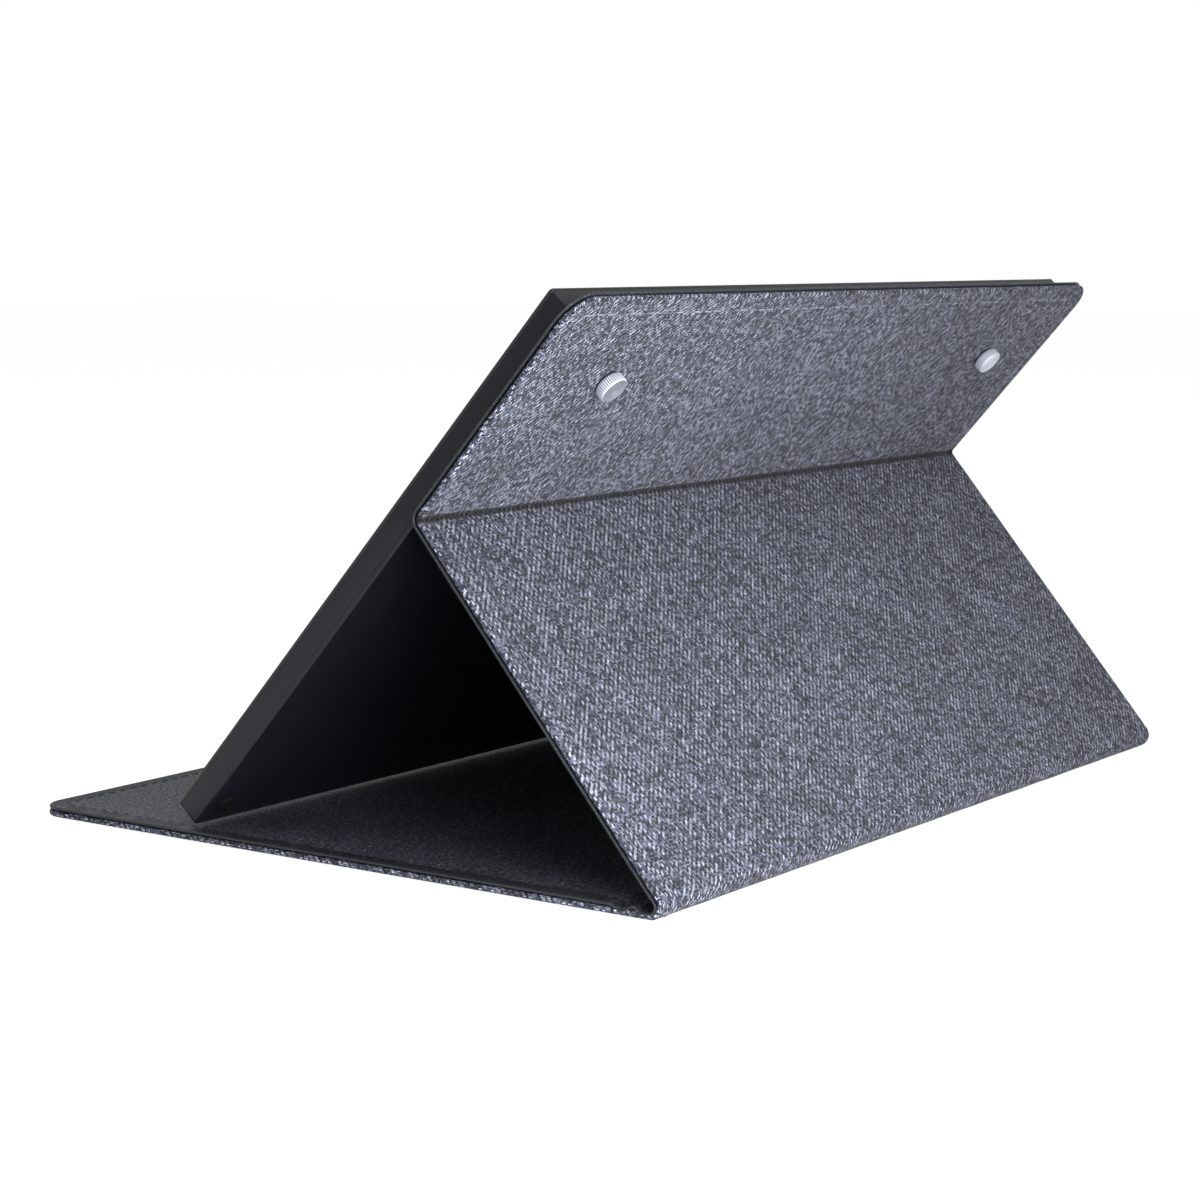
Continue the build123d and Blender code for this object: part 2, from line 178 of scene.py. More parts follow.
class Pad:
    """A thin flat solid with rounded rims; rim is a list of (inset, depth) from face to back."""

    def __init__(self, start, end, rim, width, round_start=0.0, round_end=0.0, extra=()):
        self.start, self.end, self.rim, self.width = start, end, rim, width
        self.round = {"start": round_start, "end": round_end}
        self.columns = self.make_columns(extra)
        self.rows = self.make_rows(extra)

    def make_columns(self, extra):
        limit = self.width - max(*self.round.values(), self.rim[0][0]) - 0.2 * MM
        inner = steps(-limit, limit, column_step)
        inner += [side * (self.width - e) for e in extra for side in (-1, 1)
                  if self.width - e < limit]
        return sorted(set(round(x, 7) for x in inner))

    def make_rows(self, extra):
        """Each row is (distance along, corner, turn): corner is start, end or None."""
        rows = []
        low = self.start + self.round["start"]
        high = self.end - self.round["end"]
        if self.round["start"]:
            rows += [(low, "start", math.radians(corner_turn * i))
                     for i in range(corner_steps, 0, -1)]
        straight = rows_between(low, high)
        straight += [low + e - self.round["start"] for e in extra
                     if self.round["start"] and e > self.round["start"]]
        rows += [(s, None, 0.0) for s in sorted(set(round(s, 7) for s in straight))]
        if self.round["end"]:
            rows += [(high, "end", math.radians(corner_turn * i))
                     for i in range(1, corner_steps + 1)]
        return rows

    def edge_of(self, row, inset):
        """Half-width and distance along of a row's end, at an inset from the outline."""
        along, corner, turn = row
        if corner is None:
            return self.width - inset, along
        radius = self.round[corner]
        left = max(radius - inset, 0)
        sign = -1 if corner == "start" else 1
        shift = max(inset - radius, 0)
        return (self.width - radius - shift + left * math.cos(turn),
                along + sign * (left * math.sin(turn) - shift))

    def build(self, name, place, relief=None):
        """Mesh with a 'flat' attribute: where each point lies on the flat cloth."""
        bm = bmesh.new()
        layer = bm.verts.layers.float_vector.new("flat")
        wraps = [0.0]
        for (e0, d0), (e1, d1) in zip(self.rim, self.rim[1:]):
            wraps.append(wraps[-1] + math.hypot(e1 - e0, d1 - d0))

        def vertex(x, along, depth, face=0):
            if relief and face:
                depth += relief(x, along, face)
            made = bm.verts.new(place(x, along, depth))
            made[layer] = Vector((x, along, face))
            return made

        def face_grid(inset, depth, face):
            grid = []
            for row in self.rows:
                reach, along = self.edge_of(row, inset)
                xs = [min(max(x, -reach), reach) for x in [-reach, *self.columns, reach]]
                grid.append([vertex(x, along, depth, face=face) for x in xs])
            for low, high in zip(grid, grid[1:]):
                for i in range(len(low) - 1):
                    quad = (low[i], low[i + 1], high[i + 1], high[i])
                    bm.faces.new(quad if face < 0 else tuple(reversed(quad)))

        face_grid(*self.rim[0], face=1)
        face_grid(*self.rim[-1], face=-1)
        base_inset = self.rim[0][0]

        def outer_face(wrap):
            """Which face a rim point also belongs to, if any."""
            return 1 if wrap == 0 else -1 if wrap == wraps[-1] else 0

        chain = [("side", row, 1) for row in self.rows]
        chain += [("end", self.rows[-1], x) for x in reversed(self.columns)]
        chain += [("side", row, -1) for row in reversed(self.rows)]
        chain += [("end", self.rows[0], x) for x in self.columns]
        rings = []
        for kind, row, value in chain:
            ring = []
            base_reach, base_along = self.edge_of(row, base_inset)
            _, corner, turn = row
            for (inset, depth), wrap in zip(self.rim, wraps):
                reach, along = self.edge_of(row, inset)
                if kind == "side":
                    sign = -1 if corner == "start" else 1
                    ring.append(vertex(value * reach, along, depth))
                    ring[-1][layer] = Vector((value * (base_reach + math.cos(turn) * wrap),
                                              base_along + sign * math.sin(turn) * wrap, 0))
                else:
                    x = max(min(value, base_reach), -base_reach)
                    beyond = 0 if corner is None else -wrap if row is self.rows[0] else wrap
                    ring.append(vertex(x, along, depth, outer_face(wrap)))
                    ring[-1][layer] = Vector((x, base_along + beyond, 0))
            rings.append(ring)
        for a, b in zip(rings, rings[1:] + rings[:1]):
            for i in range(len(self.rim) - 1):
                bm.faces.new((a[i], a[i + 1], b[i + 1], b[i]))
        bmesh.ops.remove_doubles(bm, verts=bm.verts, dist=weld_distance)
        bmesh.ops.dissolve_degenerate(bm, edges=bm.edges, dist=sliver_length)
        bmesh.ops.recalc_face_normals(bm, faces=bm.faces)
        return finish_mesh(name, bm)


def finish_mesh(name, bm, smooth_angle=38):
    """Object from a bmesh, smooth where its faces meet gently."""
    for face in bm.faces:
        face.smooth = True
    limit = math.radians(smooth_angle)
    for edge in bm.edges:
        edge.smooth = not (len(edge.link_faces) == 2 and edge.calc_face_angle(0) > limit)
    mesh = bpy.data.meshes.new(name)
    bm.to_mesh(mesh)
    bm.free()
    made = bpy.data.objects.new(name, mesh)
    bpy.context.scene.collection.objects.link(made)
    return made


# ---------------------------------------------------------------- node helpers
class Nodes:
    """Short way to wire a material's nodes."""

    def __init__(self, name):
        self.material = bpy.data.materials.new(name)
        self.material.use_nodes = True
        self.tree = self.material.node_tree
        self.shader = self.tree.nodes["Principled BSDF"]

    def add(self, kind, **settings):
        made = self.tree.nodes.new(kind)
        inputs = settings.pop("inputs", {})
        for key, value in settings.items():
            setattr(made, key, value)
        for key, value in inputs.items():
            self.feed(made.inputs[key], value)
        return made

    def feed(self, socket, value):
        if isinstance(value, bpy.types.NodeSocket):
            self.tree.links.new(value, socket)
        else:
            socket.default_value = value

    def math(self, operation, a, b=None, c=None, clamp=False):
        made = self.add("ShaderNodeMath", operation=operation, use_clamp=clamp)
        for i, value in enumerate((a, b, c)):
            if value is not None:
                self.feed(made.inputs[i], value)
        return made.outputs[0]

    def combine(self, x=0.0, y=0.0, z=0.0):
        return self.add("ShaderNodeCombineXYZ", inputs={0: x, 1: y, 2: z}).outputs[0]

    def mix(self, amount, a, b):
        made = self.add("ShaderNodeMix", data_type="RGBA")
        self.feed(made.inputs[0], amount)
        self.feed(made.inputs[6], a)
        self.feed(made.inputs[7], b)
        return made.outputs[2]

    def shade(self, colour, factor):
        """Colour times a grey factor."""
        made = self.add("ShaderNodeVectorMath", operation="SCALE")
        self.feed(made.inputs[0], colour)
        self.feed(made.inputs[3], factor)
        return made.outputs[0]

    def noise(self, vector, scale, detail=2.0, rough=0.5):
        made = self.add("ShaderNodeTexNoise", inputs={"Vector": vector, "Scale": scale,
                                                      "Detail": detail, "Roughness": rough})
        return made.outputs[0]

    def spread(self, value, low, high, to_low=0.0, to_high=1.0):
        made = self.add("ShaderNodeMapRange", inputs={0: value, 1: low, 2: high, 3: to_low,
                                                      4: to_high})
        return made.outputs[0]

    def bump(self, height, distance, strength=1.0):
        made = self.add("ShaderNodeBump", inputs={"Height": height, "Distance": distance,
                                                  "Strength": strength})
        return made.outputs[0]

    def set(self, **values):
        for key, value in values.items():
            self.feed(self.shader.inputs[key.replace("_", " ")], value)
        return self.material

    def place(self):
        return self.add("ShaderNodeTexCoord").outputs["Object"]

    def flat(self):
        made = self.add("ShaderNodeAttribute", attribute_name="flat")
        apart = self.add("ShaderNodeSeparateXYZ", inputs={0: made.outputs["Vector"]})
        return apart.outputs[0], apart.outputs[1], apart.outputs[2]


def rgba(red, green, blue):
    return (red, green, blue, 1.0)


# ---------------------------------------------------------------- materials
def cloth_material():
    """Grey melange 2/2 twill: light warp over dark weft, each thread unevenly spun; painted
    shade between threads and along the middle fold's crease.
    """
    n = Nodes("cover_cloth")
    pitch = 0.53 * MM
    warp_dark, warp_light = rgba(0.024, 0.026, 0.040), rgba(0.76, 0.81, 1.0)
    weft_dark, weft_light = rgba(0.006, 0.007, 0.012), rgba(0.27, 0.29, 0.45)
    crease_dark, crease_inner, crease_outer = 0.12, 0.35 * MM, 1.1 * MM
    edge_light, edge_start, edge_full = 1.45, 2.4 * MM, 0.6 * MM
    yarn_depth = 0.16 * MM
    x, along, _ = n.flat()
    drift = n.noise(n.combine(x, along, 2.0), 45.0, 1.0)
    a = n.math("ADD", n.math("DIVIDE", x, pitch), n.math("MULTIPLY", drift, 1.5))
    b = n.math("SUBTRACT", n.math("DIVIDE", along, pitch), n.math("MULTIPLY", drift, 1.0))
    warp_number, weft_number = n.math("FLOOR", a), n.math("FLOOR", b)
    across_warp = n.math("SUBTRACT", n.math("FRACT", a), 0.5)
    across_weft = n.math("SUBTRACT", n.math("FRACT", b), 0.5)
    lift = n.math("FLOORED_MODULO", n.math("ADD", warp_number, weft_number), 4.0)
    warp_up = n.math("LESS_THAN", lift, 1.5)

    def crown(across):
        square = n.math("MULTIPLY", n.math("MULTIPLY", across, across), 4.2)
        return n.math("SUBTRACT", 1.0, square, clamp=True)

    float_number = n.math("FLOOR", n.math("MULTIPLY", n.math("ADD", warp_number, weft_number),
                                          0.25))

    def thread_shade(number, run, seed):
        """Slubs along a thread, and one tone for each float between two crossings."""
        slub = n.noise(n.combine(n.math("MULTIPLY", number, 7.31),
                                 n.math("MULTIPLY", run, 0.31), seed), 1.0, 2.0, 0.6)
        fleck = n.add("ShaderNodeTexWhiteNoise", noise_dimensions="3D",
                      inputs={"Vector": n.combine(number, float_number, seed)}).outputs[0]
        slub = n.spread(slub, 0.28, 0.72)
        both = n.math("ADD", n.math("MULTIPLY", slub, 0.25), n.math("MULTIPLY", fleck, 0.75))
        return n.math("POWER", both, 2.4)

    warp_tone = n.mix(thread_shade(warp_number, b, 1.3), warp_dark, warp_light)
    weft_tone = n.mix(thread_shade(weft_number, a, 5.7), weft_dark, weft_light)
    weft_up = n.math("SUBTRACT", 1.0, warp_up)
    up_crown = n.math("ADD", n.math("MULTIPLY", warp_up, crown(across_warp)),
                      n.math("MULTIPLY", weft_up, crown(across_weft)))
    tone = n.mix(warp_up, weft_tone, warp_tone)
    # Partly painted shade and highlight: each thread is drawn darker towards its sides and
    # between threads, and a little lighter on its crown.
    painted_thread_shading = n.spread(up_crown, 0.10, 0.90, 0.04, 1.15)
    cloud = n.spread(n.noise(n.combine(x, along, 0.4), 34.0, 3.0, 0.6), 0.3, 0.7, 0.86, 1.14)
    # Painted shade: the cloth is drawn darker within about a millimetre of the middle fold's
    # crease, where the valley lies in shade.
    crease = (path.valley_at + path.flap_at) / 2
    from_crease = n.math("ABSOLUTE", n.math("SUBTRACT", along, crease))
    painted_crease_shade = n.spread(from_crease, crease_inner, crease_outer, crease_dark, 1.0)
    turned = n.spread(n.math("ABSOLUTE", x), half_width - edge_start,
                      half_width - edge_full, 1.0, edge_light)
    melange = n.noise(n.combine(n.math("MULTIPLY", x, 1.5), along, 7.0), 1500.0, 1.0, 0.6)
    cloud = n.math("MULTIPLY", cloud, n.spread(melange, 0.32, 0.68, 0.45, 1.65))
    cloud = n.math("MULTIPLY", cloud, turned)
    colour = n.shade(n.shade(tone, n.math("MULTIPLY", painted_thread_shading, painted_crease_shade)), cloud)
    height = n.math("ADD", up_crown, n.math("MULTIPLY", warp_up, 0.35))
    fuzz = n.noise(n.combine(a, b, 0.0), 2.2, 2.0, 0.6)
    height = n.math("ADD", height, n.math("MULTIPLY", fuzz, 0.5))
    return n.set(Base_Color=colour, Roughness=n.spread(fuzz, 0.3, 0.7, 0.74, 0.95),
                 Normal=n.bump(height, yarn_depth, 0.85), Sheen_Weight=0.10,
                 Sheen_Roughness=0.5, Specular_IOR_Level=0.3)


def lining_material():
    """Black leatherette with fine pebble grain; the pebbles' crests carry a painted highlight,
    weaker in the hem.
    """
    n = Nodes("lining_leatherette")
    # The second colour is a painted highlight for the pebbles' crests, not the leatherette's own
    # colour.
    hollow, crest_painted_highlight = rgba(0.016, 0.018, 0.023), rgba(0.320, 0.360, 0.460)
    cut_edge = rgba(0.034, 0.037, 0.048)
    hem_shade, hem_start, hem_end = 0.28, stitch_inset - 1.2 * MM, stitch_inset - 0.2 * MM
    grain_depth = 0.22 * MM
    x, along, face = n.flat()
    where = n.combine(x, along, 0.0)
    bend = n.noise(where, 200.0, 2.0)
    where = n.combine(n.math("ADD", x, n.math("MULTIPLY", bend, 0.0009)),
                      n.math("ADD", along, n.math("MULTIPLY", bend, 0.0007)), 0.0)
    cells = n.add("ShaderNodeTexVoronoi", feature="DISTANCE_TO_EDGE",
                  inputs={"Vector": where, "Scale": 820.0, "Randomness": 1.0}).outputs[0]
    pebble = n.spread(cells, 0.0, 0.28)
    fine = n.noise(where, 5200.0, 2.0, 0.6)
    wear = n.noise(where, 22.0, 3.0)
    speck = n.spread(n.noise(where, 900.0, 2.0, 0.6), 0.40, 0.66)
    # Painted highlight: the pebbles' crests are drawn light blue-grey, in patches, standing in
    # for the black leatherette's sheen.
    tone = n.mix(n.math("MULTIPLY", pebble, speck), hollow, crest_painted_highlight)
    from_side = n.math("SUBTRACT", half_width, n.math("ABSOLUTE", x))
    inside = n.math("MINIMUM", from_side, along)
    hem = n.spread(inside, hem_start, hem_end)
    rim = n.math("SUBTRACT", 1.0, n.math("ABSOLUTE", face), clamp=True)
    # The hem band outside the seam is drawn darker, so it shows less of the painted highlight.
    tone = n.shade(tone, n.spread(hem, 0.0, 1.0, hem_shade, 1.0))
    tone = n.mix(n.math("MULTIPLY", rim, 0.9), tone, cut_edge)
    colour = n.shade(tone, n.spread(wear, 0.3, 0.7, 0.8, 1.25))
    height = n.math("ADD", pebble, n.math("MULTIPLY", fine, 0.25))
    rough = n.math("SUBTRACT", n.spread(fine, 0.3, 0.7, 0.44, 0.58),
                   n.math("MULTIPLY", rim, 0.16))
    return n.set(Base_Color=colour, Roughness=rough, Normal=n.bump(height, grain_depth, 0.8),
                 Specular_IOR_Level=0.34)


def thread_material(name, dark, light, roughness):
    """Sewing thread, twisted, each stitch a little different."""
    n = Nodes(name)
    x, along, _ = n.flat()
    twist = n.add("ShaderNodeTexWave", wave_type="BANDS", bands_direction="DIAGONAL",
                  inputs={"Vector": n.combine(x, along, 0.0), "Scale": 900.0,
                          "Distortion": 0.6}).outputs[1]
    uneven = n.noise(n.combine(x, along, 0.0), 210.0, 1.0)
    colour = n.mix(n.spread(uneven, 0.32, 0.68), rgba(*dark), rgba(*light))
    return n.set(Base_Color=n.shade(colour, n.spread(twist, 0, 1, 0.72, 1.1)),
                 Roughness=roughness, Normal=n.bump(twist, 0.06 * MM, 0.7))


def moulded_material(name, colour, roughness, grain_scale=5200.0, grain=0.012,
                     specular=0.45):
    """Moulded or sprayed surface with a fine grain and faint handling marks."""
    n = Nodes(name)
    where = n.place()
    fine = n.noise(where, grain_scale, 3.0, 0.65)
    marks = n.noise(where, 38.0, 4.0, 0.6)
    tone = n.mix(n.spread(marks, 0.3, 0.72), rgba(*[c * 0.9 for c in colour]),
                 rgba(*[c * 1.12 for c in colour]))
    rough = n.math("ADD", n.spread(marks, 0.3, 0.7, roughness - 0.05, roughness + 0.05),
                   n.spread(fine, 0.3, 0.7, -0.03, 0.03))
    return n.set(Base_Color=tone, Roughness=rough, Normal=n.bump(fine, grain * MM, 0.6),
                 Specular_IOR_Level=specular)


def turned_material():
    """Bright turned aluminium: circular tool marks on the face; painted shade in the knurl
    grooves, a painted highlight streak round the head, and the knurled side painted lighter than
    the face.
    """
    n = Nodes("turned_aluminium")
    radius, around, depth = n.flat()
    rings = n.noise(n.combine(n.math("MULTIPLY", radius, 9000.0), 0.0, 0.0), 1.0, 3.0, 0.7)
    # Painted highlight: a streak of light that changes with the angle round the head.
    painted_streak = n.math("ABSOLUTE", n.math("SINE", n.math("ADD", around, 0.6)))
    painted_light_factor = n.spread(painted_streak, 0.0, 1.0, 1.05, 0.85)
    # Painted shade in the knurl grooves, darker where they are deeper.
    groove = n.spread(depth, 0.25, 0.9, 1.0, 0.25)
    # The knurled side is painted lighter than the face, as light falls on it.
    side = n.spread(radius, 3.95 * MM, 4.12 * MM)
    painted_light_factor = n.math("MULTIPLY", painted_light_factor, n.spread(side, 0.0, 1.0, 0.84, 1.32))
    tone = n.shade(n.mix(rings, rgba(0.55, 0.59, 0.68), rgba(0.72, 0.76, 0.85)),
                   n.math("MULTIPLY", painted_light_factor, groove))
    return n.set(Base_Color=tone, Metallic=n.spread(side, 0.0, 1.0, 0.7, 0.2),
                 Roughness=n.spread(rings, 0.3, 0.7, 0.28, 0.42),
                 Normal=n.bump(rings, 0.008 * MM, 0.6))


def metal_material(name, colour, roughness, scratch_scale=(900.0, 900.0, 60.0)):
    """Worked metal with fine directional marks."""
    n = Nodes(name)
    stretched = n.add("ShaderNodeMapping", inputs={"Vector": n.place(),
                                                   "Scale": scratch_scale}).outputs[0]
    lines = n.noise(stretched, 4.0, 3.0, 0.7)
    tarnish = n.noise(n.place(), 420.0, 2.0)
    tone = n.mix(n.spread(tarnish, 0.3, 0.7), rgba(*[c * 0.93 for c in colour]),
                 rgba(*colour))
    return n.set(Base_Color=tone, Metallic=1.0,
                 Roughness=n.spread(lines, 0.3, 0.7, roughness - 0.07, roughness + 0.08),
                 Normal=n.bump(lines, 0.006 * MM, 0.5))


def fibre_material(name, dark, light, scale, roughness, depth):
    """Matted or pressed fibre, for felt and board."""
    n = Nodes(name)
    where = n.place()
    tangle = n.noise(where, scale, 6.0, 0.75)
    specks = n.noise(where, scale * 0.22, 3.0, 0.6)
    both = n.math("MULTIPLY", n.math("ADD", tangle, specks), 0.5)
    colour = n.mix(n.spread(both, 0.36, 0.64), rgba(*dark), rgba(*light))
    return n.set(Base_Color=colour, Roughness=roughness, Normal=n.bump(tangle, depth * MM, 0.9),
                 Sheen_Weight=0.1)


cloth = cloth_material()
leatherette = lining_material()
pale_thread = thread_material("thread_pale", (0.08, 0.085, 0.11), (0.44, 0.46, 0.54), 0.7)
black_thread = thread_material("thread_black", (0.008, 0.008, 0.010), (0.03, 0.03, 0.035), 0.5)
tray_plastic = moulded_material("tray_plastic", (0.0130, 0.0155, 0.0215), 0.36, specular=0.26)
# Painted highlight: a lighter plastic for the tray's rounded edges, where light would catch
# them.
tray_painted_highlight = moulded_material("tray_plastic_painted_highlight", (0.150, 0.165, 0.205), 0.30)
bezel_plastic = moulded_material("bezel_plastic", (0.012, 0.013, 0.015), 0.36)
rubber = moulded_material("soft_rubber", (0.007, 0.007, 0.008), 0.78, 2600.0, 0.03,
                          specular=0.2)
nylon = moulded_material("nylon", (0.030, 0.030, 0.032), 0.5, 3000.0, 0.01)
aluminium = turned_material()
brass = metal_material("brass", (0.72, 0.52, 0.22), 0.3)
nickel = metal_material("nickel_plate", (0.62, 0.61, 0.59), 0.25)
steel = metal_material("plain_steel", (0.46, 0.46, 0.47), 0.38)
felt = fibre_material("felt", (0.022, 0.022, 0.024), (0.075, 0.075, 0.080), 2300.0, 0.95, 0.3)
board = fibre_material("greyboard", (0.13, 0.12, 0.10), (0.30, 0.28, 0.25), 1500.0, 0.9, 0.1)


def dress(piece, material):
    """Gives the piece this one material."""
    piece.data.materials.clear()
    piece.data.materials.append(material)
    return piece


# ---------------------------------------------------------------- cover skins
cloth_rim = [(1.1, 0.0), (0.70, 0.03), (0.36, 0.13), (0.13, 0.33), (0.02, 0.60), (0.0, 0.85),
             (0.03, 1.12), (0.16, 1.36), (0.42, 1.54), (0.78, 1.62), (1.25, 1.65)]
lining_rim = [(1.3, 2.16), (0.55, 2.17), (0.26, 2.23), (0.09, 2.36), (0.02, 2.54),
              (0.06, 2.73), (0.22, 2.90), (0.50, 2.98), (0.9, 3.0)]


def in_metres(rim):
    """A rim given in millimetres, in metres."""
    return [(inset * MM, depth * MM) for inset, depth in rim]


def edge_distance(x, along):
    """How far a point of the cover is inside its outline."""
    return min(half_width - abs(x), along, path.end - along)


def bell(value, centre, width):
    """1 at the centre, falling smoothly to either side."""
    return math.exp(-((value - centre) / width) ** 2)


def cloth_relief(x, along, face):
    """Seam drawn in by its stitches, the board's edge beyond it and a soft unevenness."""
    if face < 0:
        return 0.0
    inside = edge_distance(x, along)
    seam = 0.16 * bell(inside, stitch_inset, 0.9 * MM)
    pucker = 0.05 * bell(inside, stitch_inset, 2.2 * MM) * math.sin((x + along) * 1250)
    soft = 0.07 * wobble(x, along, 95, 0.4) + 0.04 * wobble(x, along, 240, 2.1)
    fade = min(1.0, inside / (4 * MM))
    groove = 0.62 + 0.10 * wobble(x, 0.0, 130, 2.7)
    fold = groove * bell(along, (path.valley_at + path.flap_at) / 2, 1.0 * MM)
    return MM * (seam + pucker + soft * fade + fold * min(1.0, inside / (1.2 * MM)))


board_to_roll = 12.9 * MM
spine_ripple = [(0, 0), (4.4, 1.35), (7.6, -0.15), (10.6, 1.25), (13.4, 1.05), (17.5, 0.5),
                (21.5, 0.1), (24.0, 0)]      # (distance from the board's edge, dip), in mm


def spine_dip(along):
    """Slack lining at the spine: down off the board, one ripple, then up round the roll."""
    at = (along - path.roll_at + board_to_roll) / MM
    if at <= 0 or at >= spine_ripple[-1][0]:
        return 0.0
    for (a0, h0), (a1, h1) in zip(spine_ripple, spine_ripple[1:]):
        if a0 <= at <= a1:
            t = (at - a0) / (a1 - a0)
            return MM * (h0 + (h1 - h0) * t * t * (3 - 2 * t))
    return 0.0


def lining_place(x, along, depth):
    """Lining follows the path but sinks and ripples at the spine."""
    sway = 1 + 0.12 * wobble(x, 0.0, 60, 1.1)
    return path.place(x, along, depth - spine_dip(along) * sway)


def lining_relief(x, along, face):
    """Seam drawn in by its stitches, and a soft unevenness, on the side that shows."""
    if face > 0:
        return 0.0
    inside = edge_distance(x, along)
    seam = 0.14 * bell(inside, stitch_inset, 0.8 * MM)
    soft = 0.04 * wobble(x, along, 120, 3.3)
    return -MM * (seam + soft * min(1.0, inside / (4 * MM)))


seam_lines = [stitch_inset + offset * MM for offset in (-2.2, -0.9, 0.0, 0.9, 2.2)]


def make_skin(name, start, end, rim, place, relief, ends):
    """One stretch of cloth or lining; ends says which of its two ends has round corners."""
    pad = Pad(start, end, in_metres(rim), half_width, round_start=corner_radius * ends[0],
              round_end=corner_radius * ends[1], extra=seam_lines)
    return pad.build(name, place, relief)


cloth_lower = make_skin("cover_cloth_lower", 0.0, path.split, cloth_rim, path.place,
                        cloth_relief, (1, 0))
cloth_upper = make_skin("cover_cloth_upper", path.split, path.end, cloth_rim, path.place,
                        cloth_relief, (0, 1))
lining_lower = make_skin("cover_lining_lower", 0.0, path.split, lining_rim, lining_place,
                         lining_relief, (1, 0))
lining_upper = make_skin("cover_lining_upper", path.split, path.end, lining_rim, lining_place,
                         lining_relief, (0, 1))


# ---------------------------------------------------------------- stitching
stitch_length = 3.7 * MM
stitch_pitch = 4.6 * MM
thread_radius = 0.24 * MM
stitch_arch, stitch_sink, stitch_slant = 0.24 * MM, 0.16 * MM, 0.05
stitch_sections, thread_sides = 7, 7
spine_clear = (14 * MM, 8 * MM)      # stretch before and after the roll with no lining seam
valley_clear = 3 * MM


def seam_route(square_end, round_end):
    """The seam's line in flat coordinates, from the square end round the other and back."""
    reach = half_width - stitch_inset
    radius = corner_radius - stitch_inset
    inward = math.copysign(1, square_end - round_end)
    left = [(-reach, square_end)]
    for degrees in range(0, 91, 10):
        turn = math.radians(degrees)
        left.append((-reach + radius - radius * math.cos(turn),
                     round_end + inward * (stitch_inset + radius - radius * math.sin(turn))))
    return left + [(-x, along) for x, along in reversed(left)]


def walk(route, pitch):
    """Evenly spaced (point, direction) along a flat route."""
    found, carry = [], pitch / 2
    for (x0, s0), (x1, s1) in zip(route, route[1:]):
        run = math.hypot(x1 - x0, s1 - s0)
        if run < 1e-9:
            continue
        direction = ((x1 - x0) / run, (s1 - s0) / run)
        at = carry
        while at < run:
            found.append(((x0 + direction[0] * at, s0 + direction[1] * at), direction))
            at += pitch
        carry = at - run
    return found


def stitches(name, route, place, surface, rise, skip=None):
    """One short arched tube of thread for each stitch; rise is -1 on the cloth, 1 inside."""
    bm = bmesh.new()
    layer = bm.verts.layers.float_vector.new("flat")

    def ring_at(t, x, along, cx, cs):
        """Ring of thread at t, from -1 to 1 along a stitch that runs in direction (cx, cs)."""
        arch = 1 - abs(t) ** 2.6
        thick = thread_radius * (0.55 + 0.45 * math.sqrt(max(0.0, 1 - t ** 4)))
        px = x + cx * t * stitch_length / 2
        ps = along + cs * t * stitch_length / 2
        centre = surface(px, ps) + rise * (arch * stitch_arch - stitch_sink)
        ring = []
        for k in range(thread_sides):
            angle = 2 * math.pi * k / thread_sides
            off, deep = thick * math.cos(angle), thick * math.sin(angle)
            vert = bm.verts.new(place(px - cs * off, ps + cx * off, centre + deep))
            vert[layer] = Vector((px - cs * off, ps + cx * off, 0))
            ring.append(vert)
        return ring

    for (x, along), (dx, ds) in walk(route, stitch_pitch):
        if skip and skip(x, along):
            continue
        slant = random.uniform(-stitch_slant, stitch_slant)
        cx, cs = dx - slant * ds, ds + slant * dx
        rings = [ring_at(i / (stitch_sections - 1) * 2 - 1, x, along, cx, cs)
                 for i in range(stitch_sections)]
        for low, high in zip(rings, rings[1:]):
            for k in range(thread_sides):
                following = (k + 1) % thread_sides
                bm.faces.new((low[k], low[following], high[following], high[k]))
        bm.faces.new(list(reversed(rings[0])))
        bm.faces.new(rings[-1])
    bmesh.ops.recalc_face_normals(bm, faces=bm.faces)
    return finish_mesh(name, bm, 70)


def cloth_surface(x, along):
    """Depth at which a stitch lies on the cloth."""
    return cloth_relief(x, along, 1)


def lining_surface(x, along):
    """Depth at which a stitch lies on the lining."""
    return panel_depth + lining_relief(x, along, -1)


def at_spine(x, along):
    """The lining isn't sewn round the spine."""
    return path.roll_at - spine_clear[0] < along < path.strut_at + spine_clear[1]


def past_valley(x, along):
    """The lining on the flap lies against the tray and shows no seam."""
    return along > path.valley_at - valley_clear


lower_route = seam_route(path.split, 0.0)
upper_route = seam_route(path.split, path.end)
cloth_stitches_lower = stitches("cloth_stitches_lower", lower_route, path.place,
                                cloth_surface, -1)
cloth_stitches_upper = stitches("cloth_stitches_upper", upper_route, path.place,
                                cloth_surface, -1)
lining_stitches_lower = stitches("lining_stitches_lower", lower_route, lining_place,
                                 lining_surface, 1, at_spine)
lining_stitches_upper = stitches("lining_stitches_upper", upper_route, lining_place,
                                 lining_surface, 1, past_valley)

for piece in (cloth_lower, cloth_upper):
    dress(piece, cloth)
for piece in (lining_lower, lining_upper):
    dress(piece, leatherette)
for piece in (cloth_stitches_lower, cloth_stitches_upper):
    dress(piece, pale_thread)
for piece in (lining_stitches_lower, lining_stitches_upper):
    dress(piece, black_thread)


def bend_at_rear(piece):
    """Bakes the piece's placing into its mesh; the bend from base to strut is laid in the path,
    as sharp as the crease, because a wide bend would lift the lining.
    """
    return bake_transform(piece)


def bend_at_middle(piece):
    """Bakes the piece's placing into its mesh; the turn from strut to tray, round the valley, is
    laid in the path.
    """
    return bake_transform(piece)


for piece in (cloth_lower, lining_lower, cloth_stitches_lower, lining_stitches_lower):
    bend_at_rear(piece)
for piece in (cloth_upper, lining_upper, cloth_stitches_upper, lining_stitches_upper):
    bend_at_middle(piece)
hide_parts("base_fabric", "spine_fabric", "strut_fabric")
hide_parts("flap_fabric")
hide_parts("base_lining", "spine_lining", "strut_lining")
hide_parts("flap_lining")


